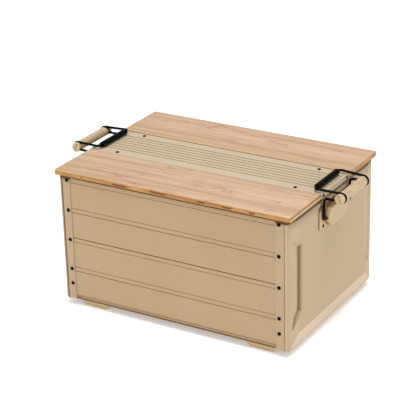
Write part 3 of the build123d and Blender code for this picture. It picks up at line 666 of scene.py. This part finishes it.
# ---- the grip's skin ----
GRIP_GRAIN = 0.2 * MM
GRIP_MOTTLE_CUT, GRIP_MOTTLE_LEVEL = (0.44, 0.70), 0.7
PIT_SIZE, PIT_LEVEL = 0.35, 0.3
GRIP_GLOSS = (0.5, 0.68)  # lowest and highest roughness


def grip_skin(name):
    """Beige grip with a mottled, slightly ribbed skin."""
    skin = Finish(name)
    patch = skin.noise(skin.stretch(260.0, 150.0, 260.0), detail=4.0, rough=0.6)
    dots = skin.cells(skin.place, scale=620.0)
    mottled = skin.span(patch, *GRIP_MOTTLE_CUT, 0.0, GRIP_MOTTLE_LEVEL)
    tone = skin.blend(mottled, linear(GRIP_TAN), linear(GRIP_MOTTLE))
    pitted = skin.span(dots, 0.0, PIT_SIZE, PIT_LEVEL, 0.0)
    skin.set(Base_Color=skin.blend(pitted, tone, linear(SHADE_AND_PIT_TAN)))
    skin.set(Roughness=skin.span(patch, *NOISE_RANGE, *GRIP_GLOSS))
    skin.relief(skin.plus(dots, patch), strength=0.25, distance=GRIP_GRAIN)
    return skin.material


finishes = {
    "painted_board": powder_coat(
        "board_powder_coat", BOARD_TAN, shaded=board_painted_shade, corner_shade=0.12
    ),
    "painted_sheet": powder_coat(
        "panel_powder_coat",
        SHEET_TAN,
        shaded=panel_painted_shade,
        highlighted=panel_painted_highlights,
        corner_shade=0.85,
        reach=PANEL_CORNER_SHADE_REACH,
    ),
    "rail_tube": powder_coat("rail_powder_coat", BOARD_TAN, shaded=rail_foot_shade, corner_shade=0.2),
    "foot_block": powder_coat("foot_moulding", LIT_FOOT_TAN, roughness=0.6, corner_shade=0.2),
    "latch_bracket": powder_coat(
        "bracket_powder_coat",
        BRACKET_TAN,
        roughness=0.42,
        shaded=bracket_top_shadow,
        corner_shade=0.95,
        reach=BRACKET_CORNER_SHADE_REACH,
    ),
    "lid_metal": powder_coat("strip_powder_coat", STRIP_TAN, shaded=rib_shade, corner_shade=0.2),
    "floor_ply": plywood("floor_plywood"),
    "bamboo": lid_bamboo("lid_bamboo"),
    "black_wire": black_coat("black_wire_coat"),
    "black_sleeve": rubber("sleeve_rubber"),
    "grip": grip_skin("grip_mottled"),
    "grip_cap": powder_coat("grip_plug_plastic", GRIP_TAN, roughness=0.5, shaded=slot_shade),
    "black_screw": black_coat("screw_black_oxide", roughness=0.5, shine=0.05),
}


class Recipe(NodeMaths):
    """A Geometry Nodes tree under construction, with named inputs for its sizes."""

    def __init__(self, name, **inputs):
        self.tree = bpy.data.node_groups.new(name, "GeometryNodeTree")
        sockets = self.tree.interface
        sockets.new_socket("Geometry", in_out="INPUT", socket_type="NodeSocketGeometry")
        self.keys = {}
        for label, kind in {**inputs, "Finish": "Material"}.items():
            plain = label.replace("_", " ")
            made = sockets.new_socket(plain, in_out="INPUT", socket_type="NodeSocket" + kind)
            self.keys[plain] = made.identifier
        sockets.new_socket("Geometry", in_out="OUTPUT", socket_type="NodeSocketGeometry")
        self.given = self.tree.nodes.new("NodeGroupInput").outputs
        self.result = self.tree.nodes.new("NodeGroupOutput").inputs["Geometry"]

    def node(self, kind, inputs=(), **settings):
        """A node with its settings, its inputs fed in order or by name, and its first output."""
        made = self.tree.nodes.new(kind)
        for key, value in settings.items():
            setattr(made, key, value)
        pairs = inputs.items() if isinstance(inputs, dict) else enumerate(inputs)
        for key, value in pairs:
            self.feed(made.inputs[key], value)
        return [socket for socket in made.outputs if socket.enabled][0]

    def rounding(self, radius, past):
        """How far a rounded edge of that radius has fallen, a distance past its start."""
        past = self.most(past, 0.0)
        kept = self.most(self.minus(self.times(radius, radius), self.times(past, past)), 0.0)
        return self.minus(radius, self.math("SQRT", kept))

    def attribute(self, name, data_type):
        return self.node("GeometryNodeInputNamedAttribute", {"Name": name}, data_type=data_type)

    def finish_with(self, geometry):
        """The end of every tree: real geometry that carries its finish."""
        real = self.node("GeometryNodeRealizeInstances", {"Geometry": geometry})
        painted = self.node(
            "GeometryNodeSetMaterial", {"Geometry": real, "Material": self.given["Finish"]}
        )
        self.feed(self.result, painted)

    def make(self, name, start, **values):
        """Runs the tree on a starting mesh and returns the plain mesh object that it gives."""
        source = bpy.data.objects.new(name + "_start", start)
        bpy.context.scene.collection.objects.link(source)
        modifier = source.modifiers.new("recipe", "NODES")
        modifier.node_group = self.tree
        for label, value in values.items():
            modifier[self.keys[label.replace("_", " ")]] = value
        depsgraph = bpy.context.evaluated_depsgraph_get()
        mesh = bpy.data.meshes.new_from_object(source.evaluated_get(depsgraph))
        bpy.data.objects.remove(source)
        return new_piece(name, mesh)


def new_piece(name, mesh):
    """A mesh as an object of its own, its faces outward and smooth up to the sharp angle."""
    shape = bmesh.new()
    shape.from_mesh(mesh)
    bmesh.ops.remove_doubles(shape, verts=shape.verts, dist=WELD)
    if shape.calc_volume(signed=True) < 0:
        bmesh.ops.reverse_faces(shape, faces=shape.faces)
    shape.to_mesh(mesh)
    shape.free()
    mesh.shade_smooth()
    mesh.set_sharp_from_angle(angle=SMOOTH_ANGLE)
    mesh.name = name
    piece = bpy.data.objects.new(name, mesh)
    bpy.context.scene.collection.objects.link(piece)
    return piece


def fit_piece(piece, body, slot, *nodes):
    """Rides the piece on its body and lets it stand for the CAD nodes that it details."""
    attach(piece, body)
    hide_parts(*nodes)


def axis_line(name, start, end):
    """A mesh of one edge, as the line that a round piece is built along."""
    mesh = bpy.data.meshes.new(name)
    mesh.from_pydata([start, end], [(0, 1)], [])
    return mesh


def centre_line(node):
    """The ends of a round node's own axis, which runs along Y."""
    low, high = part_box(node)
    middle = (low + high) / 2
    return (middle.x, low.y, middle.z), (middle.x, high.y, middle.z)


# ---- CAD nodes: their finish, and smooth shading across their curved faces ----
def smooth_shading_tree():
    """Geometry Nodes: joins the loose triangles and smooths every edge flatter than the angle."""
    tree = bpy.data.node_groups.new("soft_shading", "GeometryNodeTree")
    tree.interface.new_socket("Geometry", in_out="INPUT", socket_type="NodeSocketGeometry")
    angle = tree.interface.new_socket("Sharp Angle", in_out="INPUT", socket_type="NodeSocketFloat")
    angle.default_value = SMOOTH_ANGLE
    tree.interface.new_socket("Geometry", in_out="OUTPUT", socket_type="NodeSocketGeometry")
    nodes, links = tree.nodes, tree.links
    given = nodes.new("NodeGroupInput")
    result = nodes.new("NodeGroupOutput")
    merge = nodes.new("GeometryNodeMergeByDistance")
    merge.inputs["Distance"].default_value = WELD
    faces = nodes.new("GeometryNodeSetShadeSmooth")
    edges = nodes.new("GeometryNodeSetShadeSmooth")
    edges.domain = "EDGE"
    edge_angle = nodes.new("GeometryNodeInputMeshEdgeAngle")
    flatter = nodes.new("FunctionNodeCompare")
    flatter.operation = "LESS_THAN"
    links.new(given.outputs["Geometry"], merge.inputs["Geometry"])
    links.new(merge.outputs["Geometry"], faces.inputs["Geometry"])
    links.new(faces.outputs["Geometry"], edges.inputs["Geometry"])
    links.new(edge_angle.outputs["Unsigned Angle"], flatter.inputs["A"])
    links.new(given.outputs["Sharp Angle"], flatter.inputs["B"])
    links.new(flatter.outputs["Result"], edges.inputs["Shade Smooth"])
    links.new(edges.outputs["Geometry"], result.inputs["Geometry"])
    return tree


def dress_cad_nodes():
    shading = smooth_shading_tree()
    slots = {entry["node"]: entry["material_slot"] for entry in frame["record"]["subparts"]}
    for name, node in frame["nodes"].items():
        finish = finishes[slots[name]]
        if not node.material_slots:
            node.data.materials.append(finish)
        for material_slot in node.material_slots:
            material_slot.material = finish
        node.modifiers.new("soft_shading", "NODES").node_group = shading
        flat_first = node.modifiers.new("flat_faces_first", "WEIGHTED_NORMAL")
        flat_first.keep_sharp = True


# ---- screws: round heads with a hexagonal socket ----
HEAD_SIDES = 24
SOCKET_CORNERS = 6
HEAD_RINGS = (  # radius, height and whether the ring is hexagonal, for a head of radius 1
    (1.00, -0.10, False),
    (1.00, 0.12, False),
    (0.96, 0.24, False),
    (0.87, 0.34, False),
    (0.73, 0.41, False),
    (0.56, 0.45, False),
    (0.45, 0.45, True),
    (0.41, 0.42, True),
    (0.41, 0.20, True),
)
HEAD_RISE = HEAD_RINGS[5][1]
SCREW_GROUPS = {  # body, axis that the heads face, and +1, -1 or 0 for outward from the middle
    "flange_screws": ("box", 1, 0),
    "bracket_screws": ("box", 0, 0),
    "floor_screws": ("box", 2, 1),
    "foot_screws": ("box", 2, -1),
    "bearer_screws": ("box", 2, -1),
    "lid_strip_screws": ("lid", 2, 1),
    "lid_end_cap_screws": ("lid", 0, 0),
    "lid_board_screws": ("lid", 2, -1),
}


def hexagon_reach(angle):
    """How far a hexagon reaches at an angle, where its corners reach 1."""
    sector = 2 * math.pi / SOCKET_CORNERS
    return math.cos(sector / 2) / math.cos(angle % sector - sector / 2)


def screw_head():
    """One head of radius 1 on the origin, facing +Z, as the pattern that the recipe repeats."""
    shape = bmesh.new()
    rings = []
    for radius, height, hexagonal in HEAD_RINGS:
        ring = []
        for step in range(HEAD_SIDES):
            angle = 2 * math.pi * step / HEAD_SIDES
            reach = radius * (hexagon_reach(angle) if hexagonal else 1.0)
            ring.append(shape.verts.new((reach * math.cos(angle), reach * math.sin(angle), height)))
        rings.append(ring)
    for inner, outer in zip(rings[1:], rings):
        for step in range(HEAD_SIDES):
            after = (step + 1) % HEAD_SIDES
            shape.faces.new((outer[step], outer[after], inner[after], inner[step]))
    shape.faces.new(rings[-1])
    shape.faces.new(reversed(rings[0]))
    mesh = bpy.data.meshes.new("screw_head")
    shape.to_mesh(mesh)
    shape.free()
    head = bpy.data.objects.new("screw_head", mesh)
    bpy.context.scene.collection.objects.link(head)
    return head


def separate_solids(node):
    """Lowest and highest corner of each separate solid in a CAD node."""
    shape = bmesh.new()
    shape.from_mesh(frame["nodes"][node].data)
    bmesh.ops.remove_doubles(shape, verts=shape.verts, dist=WELD)
    seen = set()
    corners = []
    for start in shape.verts:
        if start in seen:
            continue
        seen.add(start)
        solid = [start]
        for corner in solid:
            for edge in corner.link_edges:
                other = edge.other_vert(corner)
                if other not in seen:
                    seen.add(other)
                    solid.append(other)
        spans = [[corner.co[axis] for corner in solid] for axis in range(3)]
        corners.append((Vector(map(min, spans)), Vector(map(max, spans))))
    shape.free()
    return corners


def head_points(group, axis, way):
    """A mesh with a point under each head of a group, which says how it faces and its radius."""
    places, facings, sizes = [], [], []
    for low, high in separate_solids(group):
        place = (low + high) / 2
        sign = way or math.copysign(1, place[axis])
        radius = (high - low)[(axis + 1) % 3] / 2
        tip = high[axis] if sign > 0 else low[axis]
        place[axis] = tip - sign * HEAD_RISE * radius
        places.append(place)
        facings.append(sign * Vector([other == axis for other in range(3)]))
        sizes.append(radius)
    mesh = bpy.data.meshes.new(group + "_points")
    mesh.from_pydata(places, [], [])
    mesh.attributes.new("facing", "FLOAT_VECTOR", "POINT")
    mesh.attributes.new("size", "FLOAT", "POINT")
    for index, (direction, radius) in enumerate(zip(facings, sizes)):
        mesh.attributes["facing"].data[index].vector = direction
        mesh.attributes["size"].data[index].value = radius
    return mesh


def screw_recipe():
    """One head on each point, turned to its facing and spun by a seeded amount."""
    recipe = Recipe("set_screws", Head="Object", Spin_Seed="Int")
    info = recipe.tree.nodes.new("GeometryNodeObjectInfo")
    recipe.feed(info.inputs["Object"], recipe.given["Head"])
    spin = recipe.tree.nodes.new("FunctionNodeRandomValue")
    spin.data_type = "FLOAT"
    scalar_inputs = [socket for socket in spin.inputs if socket.enabled]
    recipe.feed(scalar_inputs[0], 0.0)
    recipe.feed(scalar_inputs[1], 2 * math.pi / SOCKET_CORNERS)
    recipe.feed(spin.inputs["Seed"], recipe.given["Spin Seed"])
    spin_amount = [socket for socket in spin.outputs if socket.enabled][0]
    turn = recipe.node("FunctionNodeAxisAngleToRotation", {"Axis": (0, 0, 1), "Angle": spin_amount})
    aim = recipe.node(
        "FunctionNodeAlignRotationToVector",
        {"Vector": recipe.attribute("facing", "FLOAT_VECTOR")},
        axis="Z",
    )
    turned = recipe.node(
        "FunctionNodeRotateRotation", {"Rotation": aim, "Rotate By": turn}, rotation_space="LOCAL"
    )
    heads = recipe.node(
        "GeometryNodeInstanceOnPoints",
        {
            "Points": recipe.given["Geometry"],
            "Instance": info.outputs["Geometry"],
            "Rotation": turned,
            "Scale": recipe.attribute("size", "FLOAT"),
        },
    )
    recipe.finish_with(heads)
    return recipe


def make_screws():
    recipe = screw_recipe()
    head = screw_head()
    for seed, (group, (body, axis, way)) in enumerate(SCREW_GROUPS.items()):
        heads = recipe.make(
            group.replace("screws", "screw_heads"),
            head_points(group, axis, way),
            Head=head,
            Spin_Seed=seed,
            Finish=finishes["black_screw"],
        )
        fit_piece(heads, body, "black_screw", group)
    bpy.data.objects.remove(head)


# ---- the bail's rubber sleeve: a tube with fine ribs ----
STEPS_PER_PATTERN = 6.0
SLEEVE_SIDES = 32
SLEEVE_RIB_PITCH = 3.0 * MM
SLEEVE_RIB_DEPTH = 0.22 * MM
SLEEVE_END_ROUND = 1.6 * MM


def tube(recipe, pattern_length, radius, sides):
    """A round tube along the starting line, a few steps to each length of its pattern."""
    line = recipe.node("GeometryNodeMeshToCurve", {"Mesh": recipe.given["Geometry"]})
    step = recipe.over(pattern_length, STEPS_PER_PATTERN)
    fine = recipe.node(
        "GeometryNodeResampleCurve", {"Curve": line, "Length": step}, mode="LENGTH"
    )
    profile = recipe.node("GeometryNodeCurvePrimitiveCircle", {"Resolution": sides, "Radius": 1.0})
    return recipe.node(
        "GeometryNodeCurveToMesh",
        {"Curve": fine, "Profile Curve": profile, "Scale": radius, "Fill Caps": True},
    )


def sleeve_recipe():
    """A round tube along a line, with shallow ribs and rounded ends."""
    recipe = Recipe(
        "ribbed_sleeve", Radius="Float", Rib_Pitch="Float", Rib_Depth="Float", End_Round="Float"
    )
    given = recipe.given
    along = recipe.tree.nodes.new("GeometryNodeSplineParameter").outputs["Length"]
    total = recipe.node("GeometryNodeSplineLength")
    phase = recipe.times(recipe.over(along, given["Rib Pitch"]), 2 * math.pi)
    valley = recipe.times(recipe.plus(recipe.math("COSINE", phase), 1.0), 0.5)
    rib = recipe.times(valley, given["Rib Depth"])
    to_end = recipe.least(along, recipe.minus(total, along))
    rounded = recipe.rounding(given["End Round"], recipe.minus(given["End Round"], to_end))
    radius = recipe.minus(given["Radius"], rib, rounded)
    recipe.finish_with(tube(recipe, given["Rib Pitch"], radius, SLEEVE_SIDES))
    return recipe


def make_sleeves():
    recipe = sleeve_recipe()
    for side in ("left", "right"):
        node = f"bail_sleeve_{side}"
        low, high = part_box(node)
        sleeve = recipe.make(
            f"ribbed_sleeve_{side}",
            axis_line("sleeve_axis", *centre_line(node)),
            Radius=(high.x - low.x) / 2,
            Rib_Pitch=SLEEVE_RIB_PITCH,
            Rib_Depth=SLEEVE_RIB_DEPTH,
            End_Round=SLEEVE_END_ROUND,
            Finish=finishes["black_sleeve"],
        )
        fit_piece(sleeve, f"bail_{side}", "black_sleeve", node)


# ---- the grip: a tube with a shallow diamond pattern and a neck at each end ----
GRIP_SIDES = 120
GRIP_NECK_RADIUS = 6.8 * MM
GRIP_BODY_HALF = 50.0 * MM
GRIP_SHOULDER = 0.9 * MM
GRIP_GROOVE_STARTS = 24.0
DIAMOND_LENGTH = 4.2 * MM
GRIP_GROOVE_DEPTH = 0.3 * MM


def grip_recipe():
    """A round grip along a line: neck, body with crossing helical grooves, neck."""
    recipe = Recipe(
        "diamond_grip",
        Axis="Vector",
        Body_Radius="Float",
        Neck_Radius="Float",
        Body_Half="Float",
        Shoulder="Float",
        Groove_Starts="Float",
        Diamond_Length="Float",
        Groove_Depth="Float",
    )
    given = recipe.given
    place = recipe.node(
        "ShaderNodeVectorMath",
        (recipe.node("GeometryNodeInputPosition"), given["Axis"]),
        operation="SUBTRACT",
    )
    split = recipe.tree.nodes.new("ShaderNodeSeparateXYZ")
    recipe.feed(split.inputs["Vector"], place)
    x, y, z = split.outputs
    out = recipe.absolute(y)
    turn_start = recipe.minus(given["Body Half"], given["Shoulder"])
    rounded = recipe.rounding(given["Shoulder"], recipe.minus(out, turn_start))
    body = recipe.minus(given["Body Radius"], rounded)
    on_neck = recipe.math("GREATER_THAN", out, given["Body Half"])
    to_neck = recipe.times(on_neck, recipe.minus(body, given["Neck Radius"]))
    radius = recipe.minus(body, to_neck)
    plain = tube(recipe, given["Diamond Length"], radius, GRIP_SIDES)

    half_starts = recipe.times(given["Groove Starts"], 0.5)
    around = recipe.times(recipe.math("ARCTAN2", z, x), half_starts)
    along = recipe.over(recipe.times(y, math.pi), given["Diamond Length"])
    helices = recipe.plus(around, along), recipe.minus(around, along)
    waves = [recipe.absolute(recipe.math("SINE", helix)) for helix in helices]
    crown = recipe.least(recipe.times(recipe.least(*waves), 2.0), 1.0)
    valley = recipe.minus(1.0, crown)
    on_body = recipe.math("LESS_THAN", out, recipe.minus(turn_start, given["Shoulder"]))
    depth = recipe.times(valley, on_body, given["Groove Depth"])
    inward = recipe.node(
        "ShaderNodeVectorMath",
        {0: recipe.node("GeometryNodeInputNormal"), "Scale": recipe.times(depth, -1.0)},
        operation="SCALE",
    )
    recipe.finish_with(
        recipe.node("GeometryNodeSetPosition", {"Geometry": plain, "Offset": inward})
    )
    return recipe


def make_grips():
    recipe = grip_recipe()
    for side in ("left", "right"):
        node = f"grip_{side}"
        low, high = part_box(node)
        grip = recipe.make(
            f"diamond_grip_{side}",
            axis_line("grip_axis", *centre_line(node)),
            Axis=tuple((low + high) / 2),
            Body_Radius=(high.x - low.x) / 2,
            Neck_Radius=GRIP_NECK_RADIUS,
            Body_Half=GRIP_BODY_HALF,
            Shoulder=GRIP_SHOULDER,
            Groove_Starts=GRIP_GROOVE_STARTS,
            Diamond_Length=DIAMOND_LENGTH,
            Groove_Depth=GRIP_GROOVE_DEPTH,
            Finish=finishes["grip"],
        )
        fit_piece(grip, f"lever_{side}", "grip", node)


dress_cad_nodes()
make_screws()
make_sleeves()
make_grips()


# ---- camera ----
AZIMUTH, ELEVATION, ROLL = math.radians(30.76), math.radians(23.46), math.radians(-1.44)
CAMERA_DISTANCE = 3.41996
CAMERA_TARGET = Vector((-0.0244, 0.0, 0.20202))
CAMERA_REACH = (0.05, 50.0)
FOCAL_PIXELS = 1556.15
FRAME_PIXELS = 416
SENSOR = 36.0


def make_camera():
    """A long lens at the right front, a little above the box and tilted slightly."""
    lens = bpy.data.cameras.new("camera")
    lens.sensor_width = SENSOR
    lens.lens = FOCAL_PIXELS * SENSOR / FRAME_PIXELS
    lens.clip_start, lens.clip_end = CAMERA_REACH
    camera = bpy.data.objects.new("camera", lens)
    bpy.context.collection.objects.link(camera)
    flat = math.cos(ELEVATION)
    back = Vector((math.sin(AZIMUTH) * flat, -math.cos(AZIMUTH) * flat, math.sin(ELEVATION)))
    right = Vector((math.cos(AZIMUTH), math.sin(AZIMUTH), 0.0))
    up = back.cross(right)
    rolled_right = right * math.cos(ROLL) + up * math.sin(ROLL)
    rolled_up = up * math.cos(ROLL) - right * math.sin(ROLL)
    turn = Matrix((rolled_right, rolled_up, back)).transposed().to_4x4()
    camera.matrix_world = Matrix.Translation(CAMERA_TARGET + back * CAMERA_DISTANCE) @ turn
    bpy.context.scene.camera = camera


# ---- floor: white, glowing a little, with a soft tan shade where the box stands ----
FLOOR_HALF = 12.0
FLOOR_GREYS = (0.84, 0.84, 0.84, 1.0), (0.86, 0.86, 0.86, 1.0)
FLOOR_GLOW, CONTACT_GLOW = 0.36, 0.28
CONTACT_REACH = 12.0 * MM
WHITE = (1.0, 1.0, 1.0, 1.0)


def make_floor():
    """A wide flat square under the box."""
    mesh = bpy.data.meshes.new("floor")
    near, far = -FLOOR_HALF, FLOOR_HALF
    corners = [(near, near, 0), (far, near, 0), (far, far, 0), (near, far, 0)]
    mesh.from_pydata(corners, [], [(0, 1, 2, 3)])
    floor = bpy.data.objects.new("floor", mesh)
    bpy.context.collection.objects.link(floor)
    paint = Finish("floor_paint")
    white = paint.blend(paint.noise(paint.place, scale=3.0), *FLOOR_GREYS)
    under = paint.crevice(CONTACT_REACH)
    paint.set(Base_Color=paint.blend(under, white, linear(CONTACT_TAN)))
    paint.set(Roughness=0.9, Specular_IOR_Level=0.0, Emission_Color=WHITE)
    paint.set(Emission_Strength=paint.span(under, 0.0, 1.0, FLOOR_GLOW, CONTACT_GLOW))
    mesh.materials.append(paint.material)


# ---- light: one broad overhead light, three soft boxes and a white studio ----
KEY_STRENGTH = 1.9
KEY_SPREAD = math.radians(26.0)
KEY_WAY = (-0.08, 0.08, -1.0)
STUDIO_STRENGTH = 0.40
SOFTBOXES = {  # place, point aimed at, width and power
    "back_softbox": ((-1.2, 3.0, 1.9), (0, 0, 0.2), 2.4, 6.0),
    "right_softbox": ((3.0, -0.6, 1.3), (0, 0, 0.15), 1.4, 12.0),
    "front_softbox": ((-0.6, -3.2, 1.5), (0, 0, 0.15), 1.6, 22.0),
}


def add_light(name, kind, power, way):
    """A light that shines along a direction, and its settings."""
    data = bpy.data.lights.new(name, kind)
    data.energy = power
    light = bpy.data.objects.new(name, data)
    bpy.context.collection.objects.link(light)
    light.rotation_mode = "QUATERNION"
    light.rotation_quaternion = Vector(way).to_track_quat("-Z", "Y")
    return light, data


def make_light():
    """The white studio, the overhead light and the soft boxes."""
    world = bpy.data.worlds.new("studio")
    bpy.context.scene.world = world
    world.use_nodes = True
    background = world.node_tree.nodes["Background"]
    background.inputs["Color"].default_value = WHITE
    background.inputs["Strength"].default_value = STUDIO_STRENGTH
    overhead = add_light("overhead_light", "SUN", KEY_STRENGTH, KEY_WAY)[1]
    overhead.angle = KEY_SPREAD
    for name, (place, aim, width, power) in SOFTBOXES.items():
        softbox, data = add_light(name, "AREA", power, Vector(aim) - Vector(place))
        softbox.location = place
        data.shape = "DISK"
        data.size = width
    bpy.context.scene.view_settings.view_transform = "Standard"


make_camera()
make_floor()
make_light()
